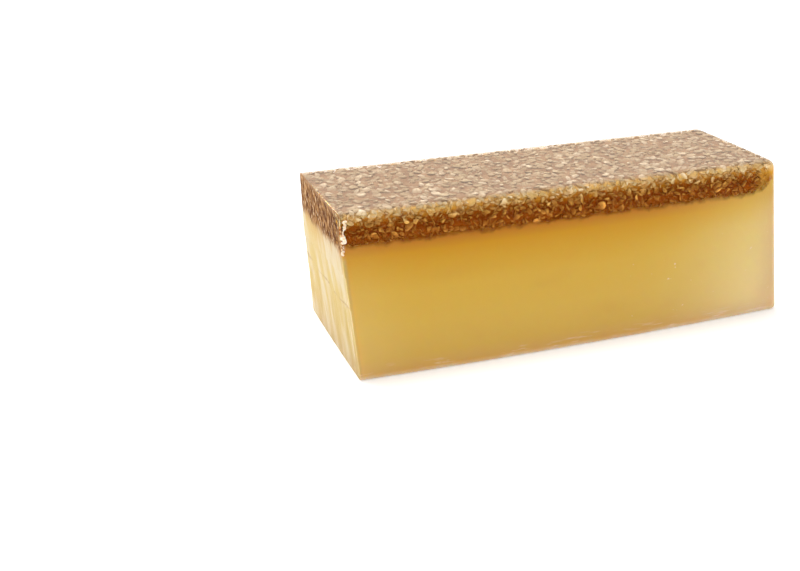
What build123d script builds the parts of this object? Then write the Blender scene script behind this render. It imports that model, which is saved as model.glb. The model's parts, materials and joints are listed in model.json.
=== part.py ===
"""A bar of clear amber soap with a layer of oat flakes set into its top.

The bar is what is left of a loaf that was poured in one go into a long, soft
mould. It now stands upside down: the side that lay on the mould's floor, where
the flakes settled, is on top, and the open side that was poured last is
underneath. The mould's walls lean outwards and belly out halfway along, most of
all at their free rim. Slices have been sold off one end with a knife, which
leaned over and was set again twice on its way down.

The bar is a single casting, so it is a single solid. +X runs along the loaf
from the cut end to the moulded end, +Y across it and +Z up. The origin is the
middle of the bar's footprint, on the surface that it stands on.
"""

from build123d import *
import os
from math import radians, tan

# The loaf as it came out of the mould, in millimetres and degrees.
loaf_height = 70.0
poured_length = 264.0
poured_width = 73.3
wall_draft = 4.5
poured_belly = 3.9
floor_belly = 0.4
end_belly = 0.6
corner_radius = 3.8
floor_edge_radius = 3.3
rim_edge_radius = 1.6

# The slices that the knife took off, measured along the top. The knife was set
# again at each of these depths, a step aside, and then leaned differently.
slices_cut = 2
slice_thickness = 25.0
knife_leans = (3.3, 4.9, 4.4)
stroke_depths = (26.0, 40.0)
stroke_steps = (0.3, 0.2)
knife_skew = 1.8
knife_dip = 5.0
knife_clearance = 20.0

# The mould's floor is smaller than its rim by the lean of its walls.
wall_inset = loaf_height * tan(radians(wall_draft))
floor_length = poured_length - 2 * wall_inset
floor_width = poured_width - 2 * wall_inset

# The mould's rim and floor: their height, length, width and the belly of their
# long sides. All four sides are shallow arcs.
rim_outline = (0, poured_length, poured_width, poured_belly)
floor_outline = (loaf_height, floor_length, floor_width, floor_belly)

# The knife was drawn across the loaf, a little askew and dipping to the back.
cut_x = -floor_length / 2 + slices_cut * slice_thickness
draw = Vector(0, -1, 0).rotate(Axis.X, -knife_dip).rotate(Axis.Z, -knife_skew)
knife_plane = Plane(origin=(0, -floor_width / 2, 0), x_dir=(1, 0, 0), z_dir=draw)


def knife_path():
    """Returns the line of the cut in the knife's plane, from above the loaf to
    below it, with a jog at each depth where the knife was set again."""
    x = cut_x - knife_clearance * tan(radians(knife_leans[0]))
    z = loaf_height + knife_clearance
    path = [(x, z)]
    for depth, step, lean in zip(stroke_depths, stroke_steps, knife_leans):
        x += (z - loaf_height + depth) * tan(radians(lean))
        z = loaf_height - depth
        path += [(x, z), (x + step, z)]
        x += step
    x += (z + knife_clearance) * tan(radians(knife_leans[-1]))
    return path + [(x, -knife_clearance)]


with BuildPart() as soap_bar:
    for z, length, width, side_belly in (rim_outline, floor_outline):
        x, y = length / 2, width / 2
        with BuildSketch(Plane.XY.offset(z)):
            with BuildLine():
                ThreePointArc((-x, -y), (0, -y - side_belly), (x, -y))
                ThreePointArc((x, -y), (x + end_belly, 0), (x, y))
                ThreePointArc((x, y), (0, y + side_belly), (-x, y))
                ThreePointArc((-x, y), (-x - end_belly, 0), (-x, -y))
            make_face()
    loft(ruled=True)
    flat_faces = soap_bar.faces().filter_by(Axis.Z)
    fillet(soap_bar.edges() - flat_faces.edges(), radius=corner_radius)
    fillet(soap_bar.faces().sort_by(Axis.Z)[-1].edges(), radius=floor_edge_radius)
    fillet(soap_bar.faces().sort_by(Axis.Z)[0].edges(), radius=rim_edge_radius)
    with BuildSketch(knife_plane):
        with BuildLine():
            path = knife_path()
            beyond_x = -poured_length / 2 - knife_clearance
            Polyline(*path, (beyond_x, path[-1][1]), (beyond_x, path[0][1]), close=True)
        make_face()
    extrude(amount=poured_width + 2 * knife_clearance, both=True, mode=Mode.SUBTRACT)

# The origin goes to the middle of the footprint, on the standing surface.
box = soap_bar.part.bounding_box()
soap_bar.part.position -= Vector(box.center().X, box.center().Y, box.min.Z)
soap_bar.part.label = "soap_bar"

os.makedirs("parts", exist_ok=True)
export_step(soap_bar.part, "parts/soap_bar.step")

box = soap_bar.part.bounding_box()
print("corners", box.min, box.max)
print("volume", round(soap_bar.part.volume), "mm3 in", len(soap_bar.part.solids()), "solid")
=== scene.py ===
"""Dresses the bar of soap: cloudy amber soap, the oats set in its top, its knife cut.

The body is modelled again at the CAD's own sizes, so that its skin can be clear over
the oats and cloudy below them. Under the clear skin lie the flakes, piece by piece, on
a bed of dark soap. A thread of crumbs that the knife left hangs on the cut's front edge.

Lengths are in metres, written as millimetres times MM. The bar's frame is the CAD's:
+X from the cut end to the moulded end, +Y to the back, +Z up, and the origin in the
middle of the footprint.
"""

from __future__ import annotations

import json
import logging
import math
import random
from dataclasses import dataclass, replace
from enum import Enum
from typing import Any, Callable, Iterator, Sequence

import bpy
import numpy as np
from mathutils import Matrix, Vector

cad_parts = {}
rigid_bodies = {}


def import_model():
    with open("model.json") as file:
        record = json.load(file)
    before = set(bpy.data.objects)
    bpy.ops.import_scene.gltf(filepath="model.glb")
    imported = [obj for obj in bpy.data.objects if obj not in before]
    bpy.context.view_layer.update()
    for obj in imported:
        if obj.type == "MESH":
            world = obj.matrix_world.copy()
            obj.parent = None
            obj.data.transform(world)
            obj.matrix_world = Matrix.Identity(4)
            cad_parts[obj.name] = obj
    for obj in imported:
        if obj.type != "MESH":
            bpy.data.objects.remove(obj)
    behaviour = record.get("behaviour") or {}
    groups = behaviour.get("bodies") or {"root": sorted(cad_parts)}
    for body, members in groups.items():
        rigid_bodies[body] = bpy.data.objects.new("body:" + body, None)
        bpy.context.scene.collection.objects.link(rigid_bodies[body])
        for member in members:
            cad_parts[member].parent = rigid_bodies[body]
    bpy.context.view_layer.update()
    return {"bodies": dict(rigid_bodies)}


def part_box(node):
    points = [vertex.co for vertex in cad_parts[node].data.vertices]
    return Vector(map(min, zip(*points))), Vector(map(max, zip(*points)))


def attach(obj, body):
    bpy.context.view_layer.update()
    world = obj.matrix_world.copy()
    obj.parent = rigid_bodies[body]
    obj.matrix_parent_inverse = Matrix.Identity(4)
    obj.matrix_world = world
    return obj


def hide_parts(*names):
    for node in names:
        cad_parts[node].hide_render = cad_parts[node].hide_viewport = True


MM = 0.001
LOG = logging.getLogger("soap")
Colour = tuple[float, float, float]


def linear(red: int, green: int, blue: int) -> Colour:
    """Returns a colour given in screen values, 0 to 255, as linear light.

    Args:
        red: The red channel.
        green: The green channel.
        blue: The blue channel.

    Returns:
        The three channels, from 0 to 1.
    """

    def decode(value: int) -> float:
        """Returns one channel as linear light."""
        share = value / 255
        return share / 12.92 if share <= 0.04045 else ((share + 0.055) / 1.055) ** 2.4

    return decode(red), decode(green), decode(blue)


# ---------------------------------------------------------------------------
# Shader expressions
# ---------------------------------------------------------------------------


class Value:
    """A node's output that adds Math nodes when it is used in an expression."""

    def __init__(self, graph: Graph, socket: bpy.types.NodeSocket) -> None:
        """Keeps the graph that new nodes go into, and the output itself."""
        self.graph = graph
        self.socket = socket

    def _maths(self, operation: str, *operands: Any) -> Value:
        """Returns a Math node's result on the operands."""
        return self.graph.add("ShaderNodeMath", {"operation": operation}, dict(enumerate(operands)))

    def __add__(self, other: Any) -> Value:
        """Returns self + other."""
        return self._maths("ADD", self, other)

    __radd__ = __add__

    def __mul__(self, other: Any) -> Value:
        """Returns self * other."""
        return self._maths("MULTIPLY", self, other)

    __rmul__ = __mul__

    def __sub__(self, other: Any) -> Value:
        """Returns self - other."""
        return self._maths("SUBTRACT", self, other)

    def __rsub__(self, other: Any) -> Value:
        """Returns other - self."""
        return self._maths("SUBTRACT", other, self)

    def __truediv__(self, other: Any) -> Value:
        """Returns self / other."""
        return self._maths("DIVIDE", self, other)

    def __pow__(self, other: Any) -> Value:
        """Returns self to the power of other."""
        return self._maths("POWER", self, other)

    def __abs__(self) -> Value:
        """Returns the size of self without its sign."""
        return self._maths("ABSOLUTE", self)

    def exp(self) -> Value:
        """Returns e to the power of self."""
        return self._maths("EXPONENT", self)

    def root(self) -> Value:
        """Returns the square root of self."""
        return self._maths("SQRT", self)

    def at_most(self, other: Any) -> Value:
        """Returns the smaller of self and other."""
        return self._maths("MINIMUM", self, other)

    def at_least(self, other: Any) -> Value:
        """Returns the larger of self and other."""
        return self._maths("MAXIMUM", self, other)

    def rise(self, low: float, high: float) -> Value:
        """Returns a soft step that is 0 up to low and 1 from high on.

        Args:
            low: Where the step starts.
            high: Where it ends; below low, the step falls instead.

        Returns:
            The step's value, from 0 to 1.
        """
        ends = {"From Min": min(low, high), "From Max": max(low, high)}
        step = self.graph.add(
            "ShaderNodeMapRange", {"interpolation_type": "SMOOTHSTEP"}, {"Value": self, **ends}
        )
        return step if low < high else 1 - step


class Graph:
    """A material's nodes, built from Python expressions."""

    def __init__(self, name: str) -> None:
        """Makes an empty material.

        Args:
            name: Its name.
        """
        self.material = bpy.data.materials.new(name)
        self.material.use_nodes = True
        self.tree = self.material.node_tree
        self.tree.nodes.clear()

    def add(
        self,
        kind: str,
        settings: dict[str, Any] | None = None,
        inputs: dict[str | int, Any] | None = None,
        output: str | int = 0,
    ) -> Value:
        """Adds one node.

        Args:
            kind: The node's type.
            settings: Its own settings, set first; stops are a colour ramp's stops.
            inputs: What goes into its sockets, as values or as other outputs.
            output: The output to return.

        Returns:
            The chosen output, ready for use in an expression.
        """
        node = self.tree.nodes.new(kind)
        for name, setting in (settings or {}).items():
            if name == "stops":
                self._set_stops(node.color_ramp.elements, setting)
            else:
                setattr(node, name, setting)
        for name, item in (inputs or {}).items():
            if isinstance(item, Value):
                self.tree.links.new(item.socket, node.inputs[name])
            elif isinstance(item, tuple) and node.inputs[name].type == "RGBA":
                node.inputs[name].default_value = (*item, 1.0)
            else:
                node.inputs[name].default_value = item
        return Value(self, node.outputs[output]) if len(node.outputs) else Value(self, None)

    @staticmethod
    def _set_stops(elements: Any, stops: Sequence[tuple[float, Colour]]) -> None:
        """Gives a colour ramp its stops.

        Args:
            elements: The ramp's own stops.
            stops: The place and the colour of each stop that it should have.
        """
        while len(elements) < len(stops):
            elements.new(1.0)
        for element, (place, colour) in zip(elements, stops):
            element.position = place
            element.color = (*colour, 1.0)

    def place(self) -> Value:
        """Returns the point on the piece, in its own frame."""
        return self.add("ShaderNodeTexCoord", output="Object")

    def axes(self, vector: Value) -> tuple[Value, Value, Value]:
        """Returns the three parts of a vector.

        Args:
            vector: The vector, in metres.

        Returns:
            Its parts in millimetres.
        """
        parts = self.add("ShaderNodeSeparateXYZ", None, {0: vector})
        node = parts.socket.node
        return tuple(Value(self, output) / MM for output in node.outputs)

    def noise(self, vector: Value, size: float, detail: float = 2.0) -> Value:
        """Returns soft noise from 0 to 1, in blotches of a size with finer layers on them."""
        inputs = {"Vector": vector, "Scale": 1 / size, "Detail": detail}
        return self.add("ShaderNodeTexNoise", None, inputs)

    def stretch(self, vector: Value, scale: Colour, turn: Colour = (0.0, 0.0, 0.0)) -> Value:
        """Returns a vector turned and stretched, for patterns with a direction.

        Args:
            vector: The vector.
            scale: How many times longer the pattern gets along each axis.
            turn: How far the pattern is turned about each axis.

        Returns:
            The vector to read the pattern at.
        """
        settings = {"vector_type": "TEXTURE"}
        inputs = {"Vector": vector, "Scale": scale, "Rotation": turn}
        return self.add("ShaderNodeMapping", settings, inputs)

    def mix(self, first: Any, second: Any, share: Any) -> Value:
        """Returns two colours mixed, with the second at a share of 1."""
        return self.add("ShaderNodeMix", {"data_type": "RGBA"}, {0: share, 6: first, 7: second}, 2)

    def ramp(self, value: Value, stops: Sequence[tuple[float, Colour]]) -> Value:
        """Returns the colour that a value from 0 to 1 has between the stops."""
        return self.add("ShaderNodeValToRGB", {"stops": stops}, {0: value})

    def times(self, colour: Value, factors: Sequence[Any]) -> Value:
        """Returns a colour with each channel multiplied.

        Args:
            colour: The colour.
            factors: The factor of each channel.

        Returns:
            The new colour.
        """
        combined = self.add("ShaderNodeCombineXYZ", None, dict(enumerate(factors)))
        settings = {"operation": "MULTIPLY"}
        return self.add("ShaderNodeVectorMath", settings, {0: colour, 1: combined})

    def bump(self, height: Value, distance: float) -> Value:
        """Returns normals that follow a height, whose full range is the distance."""
        inputs = {"Height": height, "Distance": distance, "Strength": 1.0}
        return self.add("ShaderNodeBump", None, inputs)

    def blend(self, first: Value, second: Value, share: Any) -> Value:
        """Returns two shaders mixed, with the second at a share of 1."""
        return self.add("ShaderNodeMixShader", None, {0: share, 1: first, 2: second})

    def show(self, shader: Value) -> bpy.types.Material:
        """Sends a shader to the material's output and returns the material."""
        self.add("ShaderNodeOutputMaterial", None, {"Surface": shader})
        return self.material


# ---------------------------------------------------------------------------
# Modelling by operators
# ---------------------------------------------------------------------------


class Pick(Enum):
    """What is selected in edit mode, and the matching collection of the mesh."""

    VERTS = "vertices"
    EDGES = "edges"
    FACES = "polygons"


class Bench:
    """Blender's operators on one object at a time."""

    @staticmethod
    def take(piece: bpy.types.Object) -> None:
        """Selects one object alone and makes it the active one.

        Args:
            piece: The object.
        """
        bpy.ops.object.select_all(action="DESELECT")
        piece.select_set(True)
        bpy.context.view_layer.objects.active = piece

    @classmethod
    def primitive(cls, kind: str, name: str, **sizes: Any) -> bpy.types.Object:
        """Adds a primitive at its size and place.

        Args:
            kind: The operator's name, without its primitive_ and _add.
            name: The new object's name.
            **sizes: The operator's own arguments.

        Returns:
            The new object, with its place and size in its mesh.
        """
        bpy.ops.object.select_all(action="DESELECT")
        getattr(bpy.ops.mesh, f"primitive_{kind}_add")(**sizes)
        piece = bpy.context.active_object
        piece.name = name
        bpy.ops.object.transform_apply(location=True, rotation=True, scale=True)
        return piece

    @classmethod
    def pick(cls, piece: bpy.types.Object, kind: Pick, test: Callable[[Any], bool]) -> None:
        """Goes to edit mode with only the parts of a mesh that pass a test selected.

        Args:
            piece: The object.
            kind: Whether vertices, edges or faces are picked.
            test: Tells whether one of them is picked.
        """
        cls.take(piece)
        mesh = piece.data
        for each in Pick:
            items = getattr(mesh, each.value)
            items.foreach_set("select", [False] * len(items))
        for item in getattr(mesh, kind.value):
            item.select = bool(test(item))
        bpy.context.tool_settings.mesh_select_mode = [kind is each for each in Pick]
        bpy.ops.object.mode_set(mode="EDIT")

    @classmethod
    def everything(cls, piece: bpy.types.Object) -> None:
        """Goes to edit mode with the whole mesh selected."""
        cls.pick(piece, Pick.FACES, lambda _face: True)

    @staticmethod
    def done() -> None:
        """Goes back to object mode."""
        bpy.ops.object.mode_set(mode="OBJECT")

    @classmethod
    def modify(cls, piece: bpy.types.Object, kind: str, **settings: Any) -> None:
        """Adds a modifier and applies it.

        Args:
            piece: The object.
            kind: The modifier's type.
            **settings: Its settings.
        """
        cls.take(piece)
        modifier = piece.modifiers.new(kind.title(), kind)
        for name, setting in settings.items():
            setattr(modifier, name, setting)
        bpy.ops.object.modifier_apply(modifier=modifier.name)

    @classmethod
    def join(cls, pieces: Sequence[bpy.types.Object], name: str) -> bpy.types.Object:
        """Joins objects into one.

        Args:
            pieces: The objects.
            name: The name of the one that they become.

        Returns:
            The joined object.
        """
        cls.take(pieces[0])
        for piece in pieces:
            piece.select_set(True)
        bpy.ops.object.join()
        pieces[0].name = name
        return pieces[0]

    @staticmethod
    def points(piece: bpy.types.Object) -> np.ndarray:
        """Returns where a mesh's vertices are.

        Args:
            piece: The object.

        Returns:
            The places, one row each.
        """
        places = np.empty(len(piece.data.vertices) * 3)
        piece.data.vertices.foreach_get("co", places)
        return places.reshape(-1, 3)


# ---------------------------------------------------------------------------
# The bar's form
# ---------------------------------------------------------------------------


@dataclass(frozen=True)
class Loaf:
    """The loaf as it was poured, and the knife's way through it.

    Everything is stated in the loaf's own terms, as in the CAD model, and placed by
    the bar's box. The mould's floor made the top of the bar, and its rim the foot.

    Attributes:
        low: The lowest corner of the bar's box.
        high: The highest corner of the bar's box.
        poured_length: The loaf's length at the rim.
        poured_width: The loaf's width at the rim, at its ends.
        draft: How far the walls lean.
        poured_belly: How far the long sides swell at the rim.
        floor_belly: How far they swell at the mould's floor.
        end_belly: How far the ends swell.
        corner_radius: The radius of the upright edges.
        floor_edge_radius: The radius of the edges round the top of the bar.
        rim_edge_radius: The radius of the edges round its foot.
        facet_room: By how much more flakes are kept clear of the upright edges.
        sliced_off: The length that the knife took off.
        leans: How far the knife leaned in each stroke.
        stroke_depths: How deep it was when it was set again.
        stroke_steps: How far aside it was set each time.
        skew: How far it was askew.
        dip: How far it dipped to the back.
    """

    low: Vector
    high: Vector
    poured_length: float = 264.0 * MM
    poured_width: float = 73.3 * MM
    draft: float = math.radians(4.5)
    poured_belly: float = 3.9 * MM
    floor_belly: float = 0.4 * MM
    end_belly: float = 0.6 * MM
    corner_radius: float = 3.8 * MM
    floor_edge_radius: float = 3.3 * MM
    rim_edge_radius: float = 1.6 * MM
    facet_room: float = 0.5 * MM
    sliced_off: float = 50.0 * MM
    leans: tuple[float, ...] = (math.radians(3.3), math.radians(4.9), math.radians(4.4))
    stroke_depths: tuple[float, ...] = (26.0 * MM, 40.0 * MM)
    stroke_steps: tuple[float, ...] = (0.3 * MM, 0.2 * MM)
    skew: float = math.radians(1.8)
    dip: float = math.radians(5.0)

    @property
    def height(self) -> float:
        """The bar's height."""
        return self.high.z

    @property
    def inset(self) -> float:
        """How far the mould's floor lies inside its rim, all round."""
        return self.height * math.tan(self.draft)

    @property
    def middle_x(self) -> float:
        """Where the middle of the whole loaf was."""
        return self.high.x - self.end_belly - self.poured_length / 2

    @property
    def floor_front(self) -> float:
        """Where the mould's floor ended at the front."""
        return -self.poured_width / 2 + self.inset

    @property
    def cut_start(self) -> float:
        """Where the knife went in, at the front of the top."""
        return self.middle_x - self.poured_length / 2 + self.inset + self.sliced_off

    def knife(self, depth: Any) -> Any:
        """Returns how far the knife had wandered along the bar at a depth.

        Args:
            depth: How far down the front edge, as a number or an array.

        Returns:
            The shift along X.
        """
        shift = np.minimum(depth, self.stroke_depths[0]) * math.tan(self.leans[0])
        ends = (*self.stroke_depths[1:], 10.0)
        for start, end, step, lean in zip(self.stroke_depths, ends, self.stroke_steps, self.leans[1:]):
            shift = shift + np.clip(depth - start, 0, end - start) * math.tan(lean)
            shift = shift + step * (depth > start)
        return shift

    def stroke(self, y: Any, z: Any) -> Any:
        """Returns how far down the front edge the knife was when it passed a point."""
        return self.height - z - math.tan(self.dip) * (y - self.floor_front)

    def cut_x(self, y: Any, z: Any) -> Any:
        """Returns where the cut face is, at a place across and up."""
        return self.cut_start + math.tan(self.skew) * (y - self.floor_front) + self.knife(self.stroke(y, z))

    def half_width(self, x: Any, z: Any) -> Any:
        """Returns how far the side walls are from the middle.

        Args:
            x: The place along the bar.
            z: The height.

        Returns:
            The distance at that place.
        """
        up = z / self.height
        length = self.poured_length / 2 - self.inset * up
        belly = self.poured_belly + (self.floor_belly - self.poured_belly) * up
        along = (x - self.middle_x) / length
        return self.poured_width / 2 - self.inset * up + belly * (1 - along**2)

    def end_x(self, y: Any, z: Any) -> Any:
        """Returns where the moulded end's wall is, at a place across and up."""
        belly = self.end_belly * (1 - (y / (self.poured_width / 2)) ** 2)
        return self.middle_x + self.poured_length / 2 - self.inset * z / self.height + belly

    def depth(self, places: np.ndarray) -> np.ndarray:
        """Returns how deep points lie under the moulded skin, with the edges rounded.

        Args:
            places: The points, one row each.

        Returns:
            The depth of each point, negative outside.
        """
        x, y, z = places.T
        tilt = math.cos(self.draft)
        below = self.height - z
        side = (self.half_width(x, z) - np.abs(y)) * tilt
        end = (self.end_x(y, z) - x) * tilt
        wall = self._blunted(side, end, self.corner_radius + self.facet_room)
        return self._blunted(wall, below, self.floor_edge_radius)

    @staticmethod
    def _blunted(first: np.ndarray, second: np.ndarray, radius: float) -> np.ndarray:
        """Returns the depth under two walls that meet in a rounded edge.

        Args:
            first: The depth under one wall.
            second: The depth under the other.
            radius: The radius of the edge.

        Returns:
            The depth under both.
        """
        reach = np.hypot(np.maximum(radius - first, 0), np.maximum(radius - second, 0))
        nearest = np.minimum(first, second)
        return np.where(nearest < radius, radius - reach, nearest)

    def inward(self, place: Vector) -> Vector:
        """Returns the direction that leads straight away from the nearest skin.

        Args:
            place: Where to start.

        Returns:
            The direction, of length 1.
        """
        step = 0.05 * MM
        around = np.array([place + Vector(axis) * step for axis in np.eye(3)])
        here = self.depth(np.array([place]))[0]
        return Vector(self.depth(around) - here).normalized()

    def first_stroke(self, proud: float = 0.0) -> dict[str, Any]:
        """Returns the plane of the knife's first stroke, as a bisect operator takes it.

        Args:
            proud: How far outside the cut face the plane lies.

        Returns:
            The plane's point and outward normal.
        """
        lean = math.tan(self.leans[0])
        side = math.tan(self.skew) - lean * math.tan(self.dip)
        start = (self.cut_start - proud, self.floor_front, self.height)
        return {"plane_co": start, "plane_no": Vector((-1, side, -lean)).normalized()}

    def shrunk(self, gap: float, top_gap: float, corner_radius: float) -> Loaf:
        """Returns a loaf whose skin lies a gap inside this one's.

        Args:
            gap: How far inside the walls are.
            top_gap: How far down the top is.
            corner_radius: The radius of its vertical corners.

        Returns:
            The smaller loaf.
        """
        return replace(
            self,
            high=self.high - Vector((gap, gap, top_gap)),
            poured_length=self.poured_length - 2 * gap,
            poured_width=self.poured_width - 2 * gap,
            corner_radius=corner_radius,
        )


@dataclass
class Mould:
    """The mould: it makes the loaf's block with draft, rounded edges and bellied walls.

    Attributes:
        loaf: The loaf that it makes.
        corner_segments: The facets of each rounded edge.
        rim_segments: The facets of the edges round the foot.
        sections: The rows of lattice points along the walls.
        rows: The rows of lattice points across them.
    """

    loaf: Loaf
    corner_segments: int = 6
    rim_segments: int = 3
    sections: int = 31
    rows: int = 7

    def block(self, name: str) -> bpy.types.Object:
        """Models the block with flat walls.

        Args:
            name: The block's name.

        Returns:
            The block.
        """
        loaf = self.loaf
        size = (loaf.poured_length, loaf.poured_width, loaf.height)
        middle = (loaf.middle_x, 0, loaf.height / 2)
        block = Bench.primitive("cube", name, size=1, location=middle, scale=size)
        Bench.pick(block, Pick.FACES, lambda face: face.normal.z > 0.5)
        shrink = [1 - 2 * loaf.inset / side for side in size[:2]]
        bpy.ops.transform.resize(value=(*shrink, 1), center_override=middle)
        Bench.done()
        self._round(block, loaf.corner_radius, self.corner_segments, None)
        self._round(block, loaf.floor_edge_radius, self.corner_segments, loaf.height)
        self._round(block, loaf.rim_edge_radius, self.rim_segments, 0.0)
        return block

    def _round(self, block: bpy.types.Object, radius: float, segments: int, level: float | None) -> None:
        """Rounds some of the block's edges.

        Args:
            block: The block.
            radius: The radius.
            segments: The facets of each edge.
            level: How high the edges lie, or None for the upright ones.
        """
        verts = block.data.vertices

        def chosen(edge: Any) -> bool:
            """Tells which edges are rounded.

            Args:
                edge: The edge.

            Returns:
                Whether it is one of them.
            """
            ends = [verts[i].co.z for i in edge.vertices]
            if level is None:
                return abs(ends[0] - ends[1]) > self.loaf.height / 2
            return all(abs(end - level) < 0.01 * MM for end in ends)

        Bench.pick(block, Pick.EDGES, chosen)
        bpy.ops.mesh.bevel(offset=radius, segments=segments, profile=0.5, clamp_overlap=False)
        Bench.done()

    def belly(self, block: bpy.types.Object) -> None:
        """Bellies a divided block's walls out with a lattice as large as the loaf.

        Args:
            block: The block.
        """
        loaf = self.loaf
        bpy.ops.object.select_all(action="DESELECT")
        bpy.ops.object.add(type="LATTICE", location=(loaf.middle_x, 0, loaf.height / 2))
        cage = bpy.context.active_object
        cage.scale = (loaf.poured_length, loaf.poured_width, loaf.height)
        bpy.context.view_layer.update()
        cage.data.points_u = self.sections
        cage.data.points_v = self.rows
        cage.data.points_w = 2
        for axis in "uvw":
            setattr(cage.data, f"interpolation_type_{axis}", "KEY_LINEAR")
        for point in cage.data.points:
            along, across, up = point.co
            at_floor = up > 0
            belly = loaf.floor_belly if at_floor else loaf.poured_belly
            half = loaf.poured_width / 2 - (loaf.inset if at_floor else 0)
            swell = 1 + belly / half * (1 - (2 * along) ** 2)
            push = loaf.end_belly / loaf.poured_length * (1 - (2 * across) ** 2) * 2 * along
            point.co_deform = (along + push, across * swell, up)
        Bench.modify(block, "LATTICE", object=cage)
        bpy.data.objects.remove(cage)


@dataclass
class SoapBody:
    """The body of the bar, shaped from the loaf's block as the knife left it.

    Attributes:
        loaf: The loaf that it is cut from.
        grid: The size of its faces.
        cut_clearance: How far from the cut's end of the box the grid starts.
        cut_cuts: How much finer the cut face is divided.
        drag_lines: How many grooves the blade dragged.
        drag_ends: How far from its ends a groove has its full depth.
        drag_margin: How far from the edges of the cut a groove has its full depth.
        broken_back: How far the crumbled corner is broken back.
        broken_reach: How far the crumbling reaches.
        smooth_below: The angle between faces below which their edge looks smooth.
        seed: What the grooves are drawn from.
    """

    loaf: Loaf
    grid: float = 2.5 * MM
    cut_clearance: float = 10.0 * MM
    cut_cuts: int = 3
    drag_lines: int = 46
    drag_ends: float = 4 * MM
    drag_margin: float = 3 * MM
    broken_back: float = 1.1 * MM
    broken_reach: float = 6.0 * MM
    smooth_below: float = math.radians(32)
    seed: int = 11

    def build(self) -> bpy.types.Object:
        """Models the body.

        Returns:
            The finished body, whose second material slot is for the cut face.
        """
        mould = Mould(self.loaf)
        body = mould.block("soap_body")
        self._slice(body)
        self._divide(body)
        mould.belly(body)
        self._relief(body)
        Bench.take(body)
        bpy.ops.object.shade_smooth_by_angle(angle=self.smooth_below)
        return body

    def _slice(self, body: bpy.types.Object) -> None:
        """Cuts the sold slices off in line with the first stroke and fills the cut.

        Args:
            body: The loaf's block.
        """
        plane = self.loaf.first_stroke()
        Bench.everything(body)
        bpy.ops.mesh.bisect(use_fill=True, clear_outer=True, **plane)
        Bench.done()
        body.data.materials.append(None)
        body.data.materials.append(None)
        for face in body.data.polygons:
            face.material_index = int(face.normal.dot(plane["plane_no"]) > 0.999)

    def _planes(self) -> Iterator[tuple[Vector, Vector]]:
        """Yields the planes that divide the body evenly.

        Yields:
            A point and a normal for each plane.
        """
        low, high = self.loaf.low, self.loaf.high
        starts = (low.x + self.cut_clearance, low.y, low.z)
        for axis, start in enumerate(starts):
            normal = Vector([float(axis == i) for i in range(3)])
            count = round((high[axis] - start) / self.grid)
            for i in range(1, count):
                yield normal * (start + (high[axis] - start) * i / count), normal

    def _divide(self, body: bpy.types.Object) -> None:
        """Divides the body's faces into a grid, and the cut face into a finer one.

        Args:
            body: The sliced body.
        """
        for place, normal in self._planes():
            Bench.everything(body)
            bpy.ops.mesh.bisect(plane_co=place, plane_no=normal)
            Bench.done()
        Bench.pick(body, Pick.FACES, lambda face: face.material_index == 1)
        bpy.ops.mesh.subdivide(number_cuts=self.cut_cuts)
        Bench.done()

    def _relief(self, body: bpy.types.Object) -> None:
        """Presses the later strokes, the grooves and the broken corner into the cut.

        Args:
            body: The divided body.
        """
        loaf = self.loaf
        cut_faces = [face for face in body.data.polygons if face.material_index == 1]
        on_cut = sorted({index for face in cut_faces for index in face.vertices})
        _x, y, z = Bench.points(body)[on_cut].T
        stroke = loaf.stroke(y, z)
        inward = loaf.knife(stroke) - math.tan(loaf.leans[0]) * stroke
        inward += self._drag(y, z)
        inward += self._broken_corner(y, z)
        most = float(inward.max())
        group = body.vertex_groups.new(name="knife")
        for index, depth in zip(on_cut, inward):
            group.add([index], max(float(depth), 0.0) / most, "REPLACE")
        Bench.modify(body, "DISPLACE", direction="X", strength=most, mid_level=0, vertex_group="knife")
        body.vertex_groups.clear()

    def _drag(self, y: np.ndarray, z: np.ndarray) -> np.ndarray:
        """Returns the depth of the grooves that the blade dragged down the cut face.

        Args:
            y: The places across the face.
            z: The heights.

        Returns:
            The depth at each place.
        """
        draw = random.Random(self.seed).uniform
        loaf = self.loaf
        depth = np.zeros_like(y)
        for _ in range(self.drag_lines):
            start = draw(loaf.low.y, loaf.high.y)
            slope = draw(-0.3, 0.05)
            width = draw(0.6, 2.2) * MM
            deep = draw(0.04, 0.20) * MM
            top = draw(0.35, 1.1) * loaf.height
            length = draw(0.2, 0.8) * loaf.height
            across = (y - start - slope * (top - z)) / width
            from_top = np.clip((top - z) / self.drag_ends, 0, 1)
            from_foot = np.clip((z - top + length) / self.drag_ends, 0, 1)
            depth += deep * np.exp(-(across**2)) * from_top * from_foot
        to_side = loaf.half_width(loaf.low.x, z) - np.abs(y)
        return depth * np.clip(np.minimum(to_side, z) / self.drag_margin, 0, 1)

    def _broken_corner(self, y: np.ndarray, z: np.ndarray) -> np.ndarray:
        """Returns how far the crumbled front top corner of the cut is broken back.

        Args:
            y: The places across the face.
            z: The heights.

        Returns:
            The distance at each place.
        """
        away = np.hypot(y - self.loaf.floor_front, z - self.loaf.height)
        ripple = 0.75 + 0.25 * np.sin(z / (0.9 * MM)) * np.cos(y / (0.7 * MM))
        return self.broken_back * np.clip(1 - away / self.broken_reach, 0, 1) * ripple


# ---------------------------------------------------------------------------
# Oats
# ---------------------------------------------------------------------------


class Side(Enum):
    """The stretches of skin that oats lie under."""

    TOP = "top"
    FRONT = "front"
    BACK = "back"
    END = "end"
    CUT = "cut"


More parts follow.
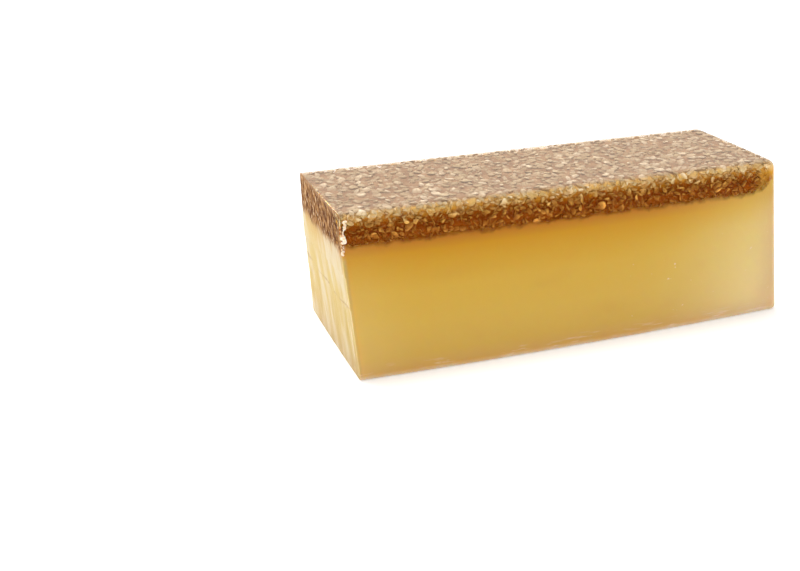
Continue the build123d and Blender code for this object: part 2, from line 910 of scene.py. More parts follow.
@dataclass(frozen=True)
class Layer:
    """One layer of flakes under a stretch of skin.

    Attributes:
        gap: The least and the greatest depth of a flake's nearest point.
        spacing: The least distance between two flakes' middles.
        flatness: The share of flakes that lie flat, while the others face any way.
        lean: How far a flat flake leans, as a standard deviation in radians.
        outward: Whether flat flakes face the skin, instead of up.
        palest: The least tone, from 0 to 1, that a flake may have.
        size: How large its flakes are, next to the shapes' own size.
    """

    gap: tuple[float, float]
    spacing: float
    flatness: float
    lean: float
    outward: bool = False
    palest: float = 0.0
    size: float = 1.0


@dataclass(frozen=True)
class FlakeShape:
    """One of the rolled oats that are copied.

    Attributes:
        length: Its length.
        width: Its width at the middle.
        thickness: Its thickness.
        curl: How far it is curled, in degrees.
        broken: Where its broken edge runs, as shares of its length and width, or None.
        seed: What makes its outline its own.
    """

    length: float
    width: float
    thickness: float
    curl: float
    broken: tuple[float, float] | None
    seed: int

    def build(self) -> bpy.types.Object:
        """Models the flake about the origin, lying flat, with its long side along X.

        Returns:
            The flake, with its own outline in the UV map "flake".
        """
        flake = Bench.primitive("cylinder", "flake", vertices=11, radius=0.5, depth=0.5)
        Bench.pick(flake, Pick.FACES, lambda face: face.normal.z > 0.9)
        bpy.ops.mesh.inset(thickness=0.16)
        bpy.ops.transform.translate(value=(0, 0, 0.25))
        Bench.done()
        if self.broken:
            Bench.everything(flake)
            across = Vector((1, 0.35 - 0.7 * (self.seed % 2), 0)).normalized()
            place = (*self.broken, 0)
            bpy.ops.mesh.bisect(plane_co=place, plane_no=across, use_fill=True, clear_outer=True)
            Bench.done()
        Bench.everything(flake)
        bpy.ops.transform.vertex_random(offset=0.07, seed=self.seed)
        size = (self.length, self.width, self.thickness)
        bpy.ops.transform.resize(value=size, center_override=(0, 0, 0))
        Bench.done()
        self._note_outline(flake)
        axis = "XY"[self.seed % 2]
        angle = math.radians(self.curl)
        Bench.modify(flake, "SIMPLE_DEFORM", deform_method="BEND", deform_axis=axis, angle=angle)
        for face in flake.data.polygons:
            face.use_smooth = True
        return flake

    def _note_outline(self, flake: bpy.types.Object) -> None:
        """Keeps each corner's place in the flake's outline, from 0 to 1 each way.

        Args:
            flake: The flat flake.
        """
        outline = flake.data.uv_layers.active or flake.data.uv_layers.new()
        outline.name = "flake"
        for loop in flake.data.loops:
            place = flake.data.vertices[loop.vertex_index].co
            outline.data[loop.index].uv = (place.x / self.length + 0.5, place.y / self.width + 0.5)


class Flakes:
    """The oat flakes, copied from a few shapes and laid under the skin.

    SHAPES are the shapes, SHARES how common each is, and LAYERS the layers of flakes
    under the top and under any wall. OAT_FLOOR is how low the oats reach, which wavers
    by about WAVER. Towards the moulded corners it rises by up to CORNER_RISE within
    CORNER_REACH. SLICE_PROUD is how far sliced flakes stand out of the cut's plane.
    """

    OAT_FLOOR = 56.0 * MM
    WAVER = 0.9 * MM
    CORNER_RISE = 9.0 * MM
    CORNER_REACH = 14.0 * MM
    SLICE_PROUD = 0.03 * MM
    SHAPES = (
        FlakeShape(5.2 * MM, 3.9 * MM, 0.8 * MM, 22, None, 1),
        FlakeShape(4.6 * MM, 3.5 * MM, 0.8 * MM, -26, None, 2),
        FlakeShape(5.6 * MM, 3.6 * MM, 0.7 * MM, 32, (0.2, 0.1), 3),
        FlakeShape(4.8 * MM, 4.0 * MM, 0.7 * MM, 18, (0.05, 0.0), 4),
        FlakeShape(3.8 * MM, 2.3 * MM, 0.6 * MM, -25, None, 5),
        FlakeShape(4.0 * MM, 2.8 * MM, 0.6 * MM, 30, (0.1, 0.0), 6),
        FlakeShape(2.4 * MM, 1.6 * MM, 0.5 * MM, 10, None, 7),
    )
    SHARES = {Side.TOP: (4, 5, 4, 5, 5, 5, 4), Side.FRONT: (1, 2, 3, 3, 6, 6, 5)}
    LAYERS = {
        Side.TOP: (
            Layer((0.02 * MM, 0.25 * MM), 3.5 * MM, 1.0, 0.12, outward=True),
            Layer((0.40 * MM, 0.8 * MM), 2.6 * MM, 1.0, 0.14, outward=True),
        ),
        Side.FRONT: (
            Layer((0.03 * MM, 0.2 * MM), 16.0 * MM, 1.0, 0.4, outward=True, palest=0.8),
            Layer((0.05 * MM, 0.7 * MM), 2.7 * MM, 0.35, 0.45, size=0.85),
            Layer((0.3 * MM, 1.3 * MM), 2.1 * MM, 0.4, 0.5, size=0.85),
            Layer((0.8 * MM, 2.0 * MM), 2.1 * MM, 0.4, 0.5),
        ),
    }

    def __init__(self, loaf: Loaf, seed: int = 5) -> None:
        """Models the shapes and starts the random draws.

        Args:
            loaf: The loaf that the flakes are set in.
            seed: What the draws start from.
        """
        self.loaf = loaf
        self.random = random.Random(seed)
        self.shapes = [shape.build() for shape in self.SHAPES]
        self.bases = [Bench.points(shape) for shape in self.shapes]

    def clear(self) -> None:
        """Removes the shapes once all copies are made."""
        for shape in self.shapes:
            bpy.data.objects.remove(shape)

    def _underside(self, x: float, y: float) -> float:
        """Returns how low the oats reach at a place, which wavers along the bar.

        Args:
            x: The place along the bar.
            y: The place across it.

        Returns:
            The height of the lowest flakes.
        """
        loaf = self.loaf
        wave = math.sin(x / (13 * MM) + 0.7) + 0.7 * math.sin(x / (5.3 * MM) + y / (9 * MM))
        to_end = max(loaf.end_x(y, loaf.height) - x, 0)
        to_side = max(loaf.half_width(x, loaf.height) - abs(y), 0)
        corner = min(math.hypot(to_end, to_side) / self.CORNER_REACH, 1)
        return self.OAT_FLOOR + self.WAVER * wave + self.CORNER_RISE * (1 - corner) ** 2

    def _spot(self, side: Side) -> Vector:
        """Returns a random place on a stretch of skin.

        Args:
            side: The stretch of skin.

        Returns:
            The place.
        """
        loaf = self.loaf
        draw = self.random.uniform
        z = draw(self.OAT_FLOOR - 2.0 * MM, loaf.height)
        if side is Side.END:
            y = draw(-1, 1) * loaf.half_width(loaf.high.x, z)
            return Vector((loaf.end_x(y, z), y, z))
        if side is Side.CUT:
            y = draw(-1, 1) * loaf.half_width(loaf.low.x, z)
            return Vector((loaf.cut_x(y, z), y, z))
        x = draw(loaf.low.x - 1.5 * MM, loaf.high.x)
        if side is Side.TOP:
            return Vector((x, draw(-1, 1) * loaf.half_width(x, loaf.height), loaf.height))
        sign = -1 if side is Side.FRONT else 1
        return Vector((x, sign * loaf.half_width(x, z), z))

    def _spots(self, side: Side, spacing: float, misses: int = 160) -> list[Vector]:
        """Returns places on a stretch of skin that keep their distance from each other.

        Args:
            side: The stretch of skin.
            spacing: The least distance between two places.
            misses: How many draws in a row may fail before the skin counts as full.

        Returns:
            The places.
        """
        spots: list[Vector] = []
        cells: dict[tuple[int, ...], list[Vector]] = {}
        steps = [(i, j, k) for i in (-1, 0, 1) for j in (-1, 0, 1) for k in (-1, 0, 1)]
        missed = 0
        while missed < misses:
            missed += 1
            spot = self._spot(side)
            if spot.z < self._underside(spot.x, spot.y):
                continue
            cell = tuple(int(c // spacing) for c in spot)
            near = (o for step in steps for o in cells.get(tuple(map(sum, zip(cell, step))), ()))
            if any((other - spot).length < spacing for other in near):
                continue
            cells.setdefault(cell, []).append(spot)
            spots.append(spot)
            missed = 0
        return spots

    def _pose(self, spot: Vector, face: Vector | None, lean: float, size: float = 1.0) -> Matrix:
        """Returns the pose of a flake at a spot.

        Args:
            spot: The place of its middle.
            face: The way that it faces, or None if it may face any way.
            lean: How far it leans from the way that it faces.
            size: How large it is, on average, next to its shape.

        Returns:
            The pose, with the flake's own size.
        """
        stray = Vector([self.random.gauss(0, 1) for _ in "xyz"])
        normal = face + stray * lean if face else stray
        turn = normal.normalized().to_track_quat("Z", "Y").to_matrix().to_4x4()
        spin = Matrix.Rotation(self.random.uniform(0, 2 * math.pi), 4, "Z")
        grown = Matrix.Diagonal((*(size * self.random.uniform(0.8, 1.15) for _ in range(3)), 1.0))
        return Matrix.Translation(spot) @ turn @ spin @ grown

    def _settle(self, pose: Matrix, base: np.ndarray, gap: float) -> Matrix:
        """Returns a pose moved inwards until its flake lies deep enough.

        Args:
            pose: The pose.
            base: The points of the flake's shape, one row each.
            gap: The depth of the flake's nearest point.

        Returns:
            The new pose.
        """
        for _ in range(2):
            places = base @ np.array(pose.to_3x3()).T + np.array(pose.translation)
            least = float(self.loaf.depth(places).min())
            pose = Matrix.Translation(self.loaf.inward(pose.translation) * (gap - least)) @ pose
        return pose

    def _copy(self, shape: int, pose: Matrix, palest: float = 0.0) -> bpy.types.Object:
        """Returns a copy of a shape with its own mesh and tone.

        Args:
            shape: Which shape is copied.
            pose: The copy's pose.
            palest: The least tone that it may have.

        Returns:
            The copy.
        """
        mesh = self.shapes[shape].data.copy()
        mesh.transform(pose)
        tones = mesh.attributes.new("tone", "FLOAT", "POINT")
        tones.data.foreach_set("value", [self.random.uniform(palest, 1)] * len(mesh.vertices))
        flake = bpy.data.objects.new("flake", mesh)
        bpy.context.collection.objects.link(flake)
        return flake

    def lay(self, side: Side) -> bpy.types.Object:
        """Lays the flakes under one stretch of skin, and slices those that the knife met.

        Args:
            side: The stretch of skin.

        Returns:
            All its flakes as one piece.
        """
        kind = Side.TOP if side is Side.TOP else Side.FRONT
        copies = []
        for layer in self.LAYERS[kind]:
            for spot in self._spots(side, layer.spacing):
                shape = self.random.choices(range(len(self.SHAPES)), self.SHARES[kind])[0]
                up = -self.loaf.inward(spot) if layer.outward else Vector((0, 0, 1))
                face = up if self.random.random() < layer.flatness else None
                pose = self._pose(spot, face, layer.lean, layer.size)
                pose = self._settle(pose, self.bases[shape], self.random.uniform(*layer.gap))
                copies.append(self._copy(shape, pose, layer.palest))
        return self._finish(copies, f"oat_flakes_{side.value}")

    def lay_cut(self, name: str, tries: int = 420) -> bpy.types.Object:
        """Lays flakes across the knife's path.

        Args:
            name: The name of the piece.
            tries: How many flakes are tried.

        Returns:
            The sliced flakes as one piece.
        """
        copies = []
        for _ in range(tries):
            spot = self._spot(Side.CUT)
            if spot.z < self._underside(spot.x, spot.y) + 0.5 * MM:
                continue
            shape = self.random.randrange(len(self.SHAPES))
            inside = spot + Vector((self.random.uniform(-1.5, 1.5) * MM, 0, 0))
            pose = self._pose(inside, Vector((0, 0, 1)), 0.35)
            places = self.bases[shape] @ np.array(pose.to_3x3()).T + np.array(pose.translation)
            if self.loaf.depth(places).min() > 0.3 * MM:
                copies.append(self._copy(shape, pose))
        return self._finish(copies, name)

    def _finish(self, copies: Sequence[bpy.types.Object], name: str) -> bpy.types.Object:
        """Joins flakes, slices them along the cut, and keeps each point's depth in mm.

        Args:
            copies: The flakes.
            name: The name of the piece that they become.

        Returns:
            The piece.
        """
        piece = Bench.join(copies, name)
        Bench.everything(piece)
        plane = self.loaf.first_stroke(proud=self.SLICE_PROUD)
        bpy.ops.mesh.bisect(use_fill=True, clear_outer=True, **plane)
        Bench.done()
        depth = self.loaf.depth(Bench.points(piece)) / MM
        noted = piece.data.attributes.new("depth", "FLOAT", "POINT")
        noted.data.foreach_set("value", depth.astype(np.float32))
        return piece


@dataclass
class OatBed:
    """The dark soap between the oats, a lumpy block a little inside the skin.

    Attributes:
        loaf: The loaf that it lies in.
        gap: How far inside the walls it is.
        top_gap: How far under the top it is.
        cut_gap: How far behind the cut it is.
        corner_radius: The radius of its upright edges.
        foot: How low it reaches.
        lengths: How many lengths it is divided into, to follow the walls' belly.
        voxel: The size of its faces.
        lump: The size of its lumps.
        relief: How high they stand.
    """

    loaf: Loaf
    gap: float = 1.9 * MM
    top_gap: float = 0.95 * MM
    cut_gap: float = 0.4 * MM
    corner_radius: float = 1.0 * MM
    foot: float = 50.0 * MM
    lengths: int = 40
    voxel: float = 1.0 * MM
    lump: float = 1.6 * MM
    relief: float = 0.9 * MM

    def build(self) -> bpy.types.Object:
        """Models the bed.

        Returns:
            The finished bed.
        """
        mould = Mould(self.loaf.shrunk(self.gap, self.top_gap, self.corner_radius))
        bed = mould.block("oat_bed")
        for i in range(1, self.lengths):
            Bench.everything(bed)
            along = self.loaf.middle_x + self.loaf.poured_length * (i / self.lengths - 0.5)
            bpy.ops.mesh.bisect(plane_co=(along, 0, 0), plane_no=(1, 0, 0))
            Bench.done()
        mould.belly(bed)
        cut = self.loaf.first_stroke(proud=-self.cut_gap)
        for plane in (cut, {"plane_co": (0, 0, self.foot), "plane_no": (0, 0, -1)}):
            Bench.everything(bed)
            bpy.ops.mesh.bisect(use_fill=True, clear_outer=True, **plane)
            Bench.done()
        Bench.modify(bed, "REMESH", mode="VOXEL", voxel_size=self.voxel)
        texture = bpy.data.textures.new("lumps", "CLOUDS")
        texture.noise_scale = self.lump
        texture.noise_depth = 1
        Bench.modify(bed, "DISPLACE", texture=texture, strength=self.relief, mid_level=0.6)
        for face in bed.data.polygons:
            face.use_smooth = True
        return bed


# ---------------------------------------------------------------------------
# Finishes
# ---------------------------------------------------------------------------


@dataclass(frozen=True)
class AmberSoap:
    """Cloudy amber soap, clear where it lies over the oats.

    The soap is deep orange just under the oats. It is painted paler towards the moulded
    corners, as the light that shines through the thin soap there, and a little paler
    towards the cut end; along the upright moulded edges it is painted darker, as shade.
    Its foot is scuffed.

    Attributes:
        loaf: The loaf that it is.
        ior: The soap's index of refraction.
        scatter: How far light spreads in it.
        clear_from: The height from which the skin is clear, in mm.
        cloudy_below: The height below which it is cloudy, in mm.
        pale_reach: How far the painted light through the thin soap reaches from the moulded corners, in mm.
        tint: What is left of light that crosses the clear skin.
        side_veil: How milky the clear skin is on the walls.
        top_veil: How milky it is on the top.
    """

    loaf: Loaf
    ior: float = 1.46
    scatter: float = 4.0 * MM
    clear_from: float = 57.8
    cloudy_below: float = 54.6
    pale_reach: float = 42.0
    tint: Colour = (0.99, 0.98, 0.95)
    side_veil: float = 0.10
    top_veil: float = 0.24

    def _colour(self, graph: Graph, place: Value) -> Value:
        """Returns the soap's colour at a place.

        Args:
            graph: The material that asks.
            place: The place.

        Returns:
            The colour.
        """
        loaf = self.loaf
        x, y, z = graph.axes(place)
        height = loaf.height / MM
        body = graph.ramp(
            z / height,
            (
                (0.02, linear(206, 163, 88)),
                (0.12, linear(203, 166, 74)),
                (0.30, linear(205, 169, 70)),
                (0.50, linear(205, 166, 60)),
                (0.64, linear(201, 155, 36)),
                (0.73, linear(197, 143, 12)),
                (0.80, linear(178, 110, 6)),
            ),
        )
        # Painted light: these paler colours stand in for the light that shines through the thin soap at the
        # moulded corners.
        pale = graph.ramp(
            z / height,
            (
                (0.02, linear(222, 193, 150)),
                (0.12, linear(226, 201, 142)),
                (0.40, linear(219, 196, 130)),
                (0.60, linear(217, 191, 118)),
                (0.72, linear(211, 176, 86)),
                (0.80, linear(206, 166, 72)),
            ),
        )
        to_end = loaf.end_x(0, loaf.height / 2) / MM - x
        to_side = loaf.poured_width / 2 / MM - abs(y)
        away = to_end * to_end + to_side * to_side
        to_cut = x - loaf.low.x / MM
        near_cut = (0 - to_cut * to_cut / 20.0**2).exp() * 0.2
        # Mixes in the painted light near the moulded corners, and a little paler soap towards the cut end.
        colour = graph.mix(body, pale, ((0 - away / self.pale_reach**2).exp() + near_cut).at_most(1.0))
        # More painted light through the thin corners, low on the walls.
        in_corner = (0 - away / 10.0**2).exp() * z.rise(62, 44)
        colour = graph.mix(colour, linear(215, 180, 132), in_corner * 0.75)
        # Painted shade: the soap is darkened along the upright moulded corners, above the foot.
        corner_shade = 1 - (0 - away / 7.5**2).exp() * z.rise(3, 16) * 0.12
        colour = graph.times(colour, [corner_shade, corner_shade, corner_shade])
        at_edge = self._from_cut(graph, place).rise(1.8, 0.2)
        colour = graph.mix(colour, linear(178, 160, 102), at_edge * z.rise(54, 50) * 0.85)
        bits = graph.noise(place, 1.4 * MM, 3.0).rise(0.4, 0.6)
        crumbly = graph.mix(linear(150, 92, 40), linear(244, 214, 166), bits)
        colour = graph.mix(colour, crumbly, at_edge * z.rise(53, 57))
        cloud = graph.noise(graph.stretch(place, (2.0, 2.0, 1.0)), 16 * MM, 2.0)
        colour = graph.mix(colour, linear(186, 138, 56), cloud.rise(0.55, 0.8) * 0.16)
        return self._scuffs(graph, place, z, colour)

    def _scuffs(self, graph: Graph, place: Value, z: Value, colour: Value) -> Value:
        """Returns the colour with the pale scuffs of the foot and a few stray flecks.

        Args:
            graph: The material that asks.
            place: The place.
            z: Its height in mm.
            colour: The colour without them.

        Returns:
            The new colour.
        """
        drawn = graph.noise(graph.stretch(place, (9.0, 9.0, 1.0)), 1.1 * MM, 3.0)
        patch = graph.noise(place, 12 * MM, 1.0)
        lip = z.rise(2.6, 0.6) * (0.55 + 0.45 * patch.rise(0.35, 0.6))
        streaks = z.rise(7.0, 1.5) * drawn.rise(0.52, 0.66) * patch.rise(0.42, 0.56)
        stray = graph.axes(place)[0].rise(10, 45) * z.rise(48, 30)
        flecks = graph.noise(place, 2.2 * MM, 2.0).rise(0.715, 0.76) * stray
        share = (streaks * 0.7).at_least(flecks * 0.6)
        colour = graph.mix(colour, linear(230, 206, 180), share)
        return graph.mix(colour, linear(214, 194, 166), lip * 0.8)

    def _window(self, graph: Graph, place: Value) -> Value:
        """Returns how clear the skin is: clear over the oats, cloudy past their reach."""
        up, _corner = Murk(self.loaf).edges(graph, place)
        return up.rise(self.cloudy_below, self.clear_from) * self._from_cut(graph, place).rise(0.3, 1.1)

    def _from_cut(self, graph: Graph, place: Value) -> Value:
        """Returns how far a place on the front is from the cut's edge.

        Args:
            graph: The material that asks.
            place: The place.

        Returns:
            The distance in mm.
        """
        x, _y, z = graph.axes(place)
        lean = math.tan(sum(self.loaf.leans) / len(self.loaf.leans))
        return x - self.loaf.cut_start / MM - (self.loaf.height / MM - z) * lean

    def make(self) -> bpy.types.Material:
        """Makes the finish.

        Returns:
            The material.
        """
        graph = Graph("amber_soap")
        place = graph.place()
        _x, _y, z = graph.axes(place)
        fine = graph.noise(place, 3.5 * MM, 2.0)
        ripple = graph.noise(place, 14 * MM, 1.0)
        normal = graph.bump(fine * 0.5 + ripple, 0.35 * MM)
        cloudy = graph.add(
            "ShaderNodeBsdfPrincipled",
            {"subsurface_method": "RANDOM_WALK"},
            {
                "Base Color": self._colour(graph, place),
                "Roughness": 0.34,
                "IOR": self.ior,
                "Specular IOR Level": 0.25,
                "Subsurface Weight": 1.0,
                "Subsurface Radius": (1.0, 0.55, 0.2),
                "Subsurface Scale": self.scatter,
                "Normal": normal,
            },
            "BSDF",
        )
        through = graph.add("ShaderNodeBsdfTransparent", None, {"Color": self.tint})
        gloss = graph.add(
            "ShaderNodeBsdfAnisotropic",
            {"distribution": "GGX"},
            {"Color": (1.0, 0.97, 0.95), "Roughness": 0.28, "Normal": normal},
        )
        fresnel = graph.add("ShaderNodeFresnel", None, {"IOR": self.ior, "Normal": normal})
        share = (fresnel - 0.034).at_least(0.0) * (0.45 + 0.2 * z.rise(66.0, 69.8))
        # The veil's cream stop under the rim is partly painted light that the rim catches from above.
        milk = graph.ramp(
            z / (self.loaf.height / MM),
            (
                (0.80, linear(176, 96, 14)),
                (0.88, linear(178, 98, 16)),
                (0.93, linear(222, 160, 48)),
                (0.97, linear(244, 206, 144)),
                (0.995, linear(192, 158, 126)),
            ),
        )
        inputs = {"Base Color": milk, "Roughness": 1.0, "Specular IOR Level": 0.0}
        veil = graph.add("ShaderNodeBsdfPrincipled", None, inputs, "BSDF")
        _up, corner = Murk(self.loaf).edges(graph, place)
        top = z.rise(67.0, 69.5)
        thick = self.side_veil + (self.top_veil - self.side_veil) * top
        thick = thick.at_least(corner.rise(8.5, 2.0) * (1 - top) * 0.9)
        clear = graph.blend(graph.blend(through, veil, thick), gloss, share)
        return graph.show(graph.blend(cloudy, clear, self._window(graph, place)))


@dataclass(frozen=True)
class KnifeCut:
    """The cut face: dull soap that the blade dragged into pale streaks.

    Attributes:
        loaf: The loaf that was cut.
        drag: How far the streaks are turned about each axis.
    """

    loaf: Loaf
    drag: Colour = (math.radians(-14), 0.0, 0.0)

    def _soap(self, graph: Graph, place: Value, y: Value, z: Value) -> Value:
        """Returns the colour of the cut soap: amber, veiled with whitish scrapes, with a painted shadow
        line near the knife's lower step.

        Args:
            graph: The material that asks.
            place: The place.
            y: Its place across the face in mm.
            z: Its height in mm.

        Returns:
            The colour.
        """
        soap = graph.ramp(
            z / (self.loaf.height / MM),
            (
                (0.03, linear(196, 164, 104)),
                (0.22, linear(200, 170, 94)),
                (0.45, linear(205, 176, 98)),
                (0.62, linear(208, 180, 112)),
                (0.70, linear(202, 164, 84)),
                (0.76, linear(186, 136, 56)),
            ),
        )
        veil = graph.noise(graph.stretch(place, (1, 1, 3.5), self.drag), 9.0 * MM, 2.0)
        soap = graph.mix(soap, linear(216, 200, 166), veil.rise(0.42, 0.68) * 0.75)
        streaks = graph.noise(graph.stretch(place, (1, 1, 12), self.drag), 1.1 * MM, 3.0)
        front = y.rise(-20, -33)
        share = streaks.rise(0.55, 0.72) * (0.25 + 0.6 * front)
        soap = graph.mix(soap, linear(234, 214, 180), share)
        # Painted shadow: a brownish line near the knife's lower step, where its ledge would cast shade.
        across = graph.noise(graph.stretch(place, (1, 6, 1)), 3.0 * MM, 2.0)
        step_shadow = abs(z - 30.0 + (across - 0.5) * 5.0).rise(0.55, 0.1)
        return graph.mix(soap, linear(176, 138, 88), step_shadow * veil.rise(0.35, 0.55) * 0.6)

    def _oats(self, graph: Graph, place: Value, z: Value) -> Value:
        """Returns the colour of the cut oats, smeared down the face.

        Args:
            graph: The material that asks.
            place: The place.
            z: Its height in mm.

        Returns:
            The colour.
        """
        smear = graph.noise(graph.stretch(place, (1, 1, 3.2), self.drag), 1.5 * MM, 3.0)
        grain = graph.noise(graph.stretch(place, (1, 1, 1.8), self.drag), 1.4 * MM, 3.0)
        share = (smear + (grain - 0.5) * 0.5).rise(0.36, 0.64)
        oats = graph.mix(linear(88, 44, 14), linear(180, 131, 80), share)
        oats = graph.mix(oats, linear(244, 214, 172), grain.rise(0.56, 0.70) * 0.7)
        return graph.mix(oats, linear(196, 156, 120), z.rise(67, 70) * 0.5)

    def make(self) -> bpy.types.Material:
        """Makes the finish.

        Returns:
            The material.
        """
        graph = Graph("knife_cut")
        place = graph.place()
        _x, y, z = graph.axes(place)
        ragged = graph.noise(graph.stretch(place, (1, 1, 2.5), self.drag), 2.2 * MM, 3.0)
        edge = z + (ragged - 0.5) * 8.0 - (0 - y).rise(-10, 30) * 1.5
        lines = graph.noise(graph.stretch(place, (1, 1, 9), self.drag), 1.0 * MM, 3.0)
        grit = graph.noise(place, 0.7 * MM, 2.0)
        soap = graph.add(
            "ShaderNodeBsdfPrincipled",
            {"subsurface_method": "RANDOM_WALK"},
            {
                "Base Color": self._soap(graph, place, y, z),
                "Roughness": 0.55,
                "IOR": 1.46,
                "Specular IOR Level": 0.35,
                "Subsurface Weight": 0.35,
                "Subsurface Radius": (1.0, 0.6, 0.25),
                "Subsurface Scale": 1.2 * MM,
                "Normal": graph.bump(lines * 0.6 + grit * 0.15, 0.6 * MM),
            },
            "BSDF",
        )
        inputs = {
            "Base Color": self._oats(graph, place, z),
            "Roughness": 0.8,
            "Specular IOR Level": 0.06,
            "Normal": graph.bump(lines * 0.6 + grit * 0.75, 0.6 * MM),
        }
        oats = graph.add("ShaderNodeBsdfPrincipled", None, inputs, "BSDF")
        return graph.show(graph.blend(soap, oats, edge.rise(50.5, 54.5)))


@dataclass(frozen=True)
class Murk:
    """The soap between the oats: red-brown low down, golden under the rim, partly as painted light that the
    rim catches, and tan on top.
    """

    loaf: Loaf

    def edges(self, graph: Graph, place: Value) -> tuple[Value, Value]:
        """Returns how high a place is and how far from the moulded corners, both frayed.

        Args:
            graph: The material that asks.
            place: The place.

        Returns:
            The height, less what the oats' reach is shorter by near the corners, and the
            distance from the nearest moulded corner, both in mm.
        """
        x, y, z = graph.axes(place)
        loaf = self.loaf
        fray = (graph.noise(place, 4 * MM, 3.0) - 0.5) * 4.5
        to_end = loaf.end_x(0, loaf.height) / MM - x
        to_side = (loaf.poured_width / 2 - loaf.inset) / MM - abs(y)
        to_end, to_side = to_end.at_least(0.0), to_side.at_least(0.0)
        corner = (to_end * to_end + to_side * to_side).root() + fray
        short = (1 - corner / 15.0).at_least(0.0)
        return z + fray - short * short * 9.0, corner

    def colour(self, graph: Graph, place: Value) -> Value:
        """Returns its colour at a place.

        Args:
            graph: The material that asks.
            place: The place.

        Returns:
            The colour.
        """
        x, y, z = graph.axes(place)
        height = self.loaf.height / MM
        wander = graph.noise(place, 5.0 * MM, 2.0)
        # The golden stops under the rim are partly the soap's own colour and partly painted light that the
        # rim catches.
        colour = graph.ramp(
            (z + (wander - 0.5) * 8.0) / height,
            (
                (0.78, linear(164, 84, 14)),
                (0.83, linear(166, 86, 20)),
                (0.87, linear(130, 54, 8)),
                (0.915, linear(146, 64, 6)),
                (0.95, linear(212, 146, 32)),
                (0.975, linear(228, 178, 70)),
            ),
        )
        _up, corner = self.edges(graph, place)
        colour = graph.mix(colour, linear(250, 196, 84), corner.rise(11.0, 4.0))
        patch = graph.noise(place, 7.0 * MM, 1.0)
        top = graph.mix(linear(144, 112, 88), linear(170, 138, 110), patch.rise(0.35, 0.65))
        to_side = (self.loaf.poured_width / 2 - self.loaf.inset) / MM - abs(y)
        to_end = self.loaf.end_x(0, self.loaf.height) / MM - x
        inner = to_side.rise(1.5, 4.0) * to_end.rise(1.5, 4.0) * z.rise(60, 64)
        colour = graph.mix(colour, top, z.rise(68.4, 69.4).at_least(inner))
        grain = graph.noise(place, 1.1 * MM, 3.0)
        return graph.mix(colour, linear(230, 190, 138), grain.rise(0.55, 0.8) * 0.35)


@dataclass(frozen=True)
class BedFinish:
    """The finish of the bed."""

    loaf: Loaf

    def make(self) -> bpy.types.Material:
        """Makes the finish.

        Returns:
            The material.
        """
        graph = Graph("oat_bed")
        place = graph.place()
        grain = graph.noise(place, 1.2 * MM, 3.0)
        inputs = {
            "Base Color": Murk(self.loaf).colour(graph, place),
            "Roughness": 0.7,
            "Specular IOR Level": 0.0,
            "Normal": graph.bump(grain, 0.4 * MM),
        }
        return graph.show(graph.add("ShaderNodeBsdfPrincipled", None, inputs, "BSDF"))


@dataclass(frozen=True)
class Oat:
    """Rolled oat seen through amber soap, which hides it more the deeper it lies.

    Attributes:
        name: The material's name.
        loaf: The loaf that the flakes are set in.
        stops: The flakes' colours by height, as shares of the loaf's height.
        tones: The shade of the darkest and of the lightest flake.
        sight: How many millimetres of soap hide two thirds of a flake.
    """

    name: str
    loaf: Loaf
    stops: tuple[tuple[float, Colour], ...]
    tones: tuple[float, float]
    sight: float

    def make(self) -> bpy.types.Material:
        """Makes the finish.

        Returns:
            The material.
        """
        graph = Graph(self.name)
        tone = graph.add("ShaderNodeAttribute", {"attribute_name": "tone"}, None, "Fac")
        depth = graph.add("ShaderNodeAttribute", {"attribute_name": "depth"}, None, "Fac").at_least(0.0)
        outline = graph.add("ShaderNodeUVMap", {"uv_map": "flake"})
        u, v, _w = graph.axes(outline)
        u, v = u * MM - 0.5, v * MM - 0.5
        away = (u * u + v * v).root()
        place = graph.place()
        _x, _y, z = graph.axes(place)
        mottle = graph.noise(place, 1.1 * MM, 3.0)
        patch = graph.noise(place, 7.0 * MM, 1.0)
        colour = graph.ramp(z / (self.loaf.height / MM), self.stops)
        groove = (abs(v + u * 0.08)).rise(0.07, 0.0) * away.rise(0.42, 0.2)
        dark, light = self.tones
        shade = dark + (light - dark) * (tone * 0.6 + tone**4 * 0.4)
        # Painted shade: besides its bump, the crease is painted darker, where shade falls in it.
        shade = shade + (mottle - 0.5) * 0.5 + (patch - 0.5) * 0.3 - groove * 0.12
        colour = graph.times(colour, [shade, shade**1.15, shade**1.5])
        hidden = 1 - (0 - depth / self.sight).exp()
        inputs = {
            "Base Color": graph.mix(colour, Murk(self.loaf).colour(graph, place), hidden),
            "Roughness": 0.6,
            "Specular IOR Level": 0.0,
            "Normal": graph.bump(mottle - groove * 0.6, 0.25 * MM),
        }
        return graph.show(graph.add("ShaderNodeBsdfPrincipled", None, inputs, "BSDF"))


@dataclass(frozen=True)
class Crumb:
    """Pale, dry soap crumbs."""

    def make(self) -> bpy.types.Material:
        """Makes the finish.

        Returns:
            The material.
        """
        graph = Graph("soap_crumbs")
        place = graph.place()
        blotch = graph.noise(place, 0.9 * MM, 3.0)
        colour = graph.mix(linear(238, 200, 150), linear(255, 240, 220), blotch.rise(0.3, 0.65))
        shader = graph.add(
            "ShaderNodeBsdfPrincipled",
            {"subsurface_method": "RANDOM_WALK"},
            {
                "Base Color": colour,
                "Roughness": 0.5,
                "Subsurface Weight": 0.4,
                "Subsurface Radius": (1.0, 0.6, 0.4),
                "Subsurface Scale": 0.8 * MM,
                "Normal": graph.bump(blotch, 0.3 * MM),
            },
            "BSDF",
        )
        return graph.show(shader)


# ---------------------------------------------------------------------------
# Sub-assemblies
# ---------------------------------------------------------------------------


def wear(piece: bpy.types.Object, *materials: bpy.types.Material) -> None:
    """Gives a piece its materials.

    Args:
        piece: The piece.
        *materials: The material of each of its slots, in order.
    """
    slots = piece.data.materials
    while len(slots) < len(materials):
        slots.append(None)
    for index, material in enumerate(materials):
        slots[index] = material


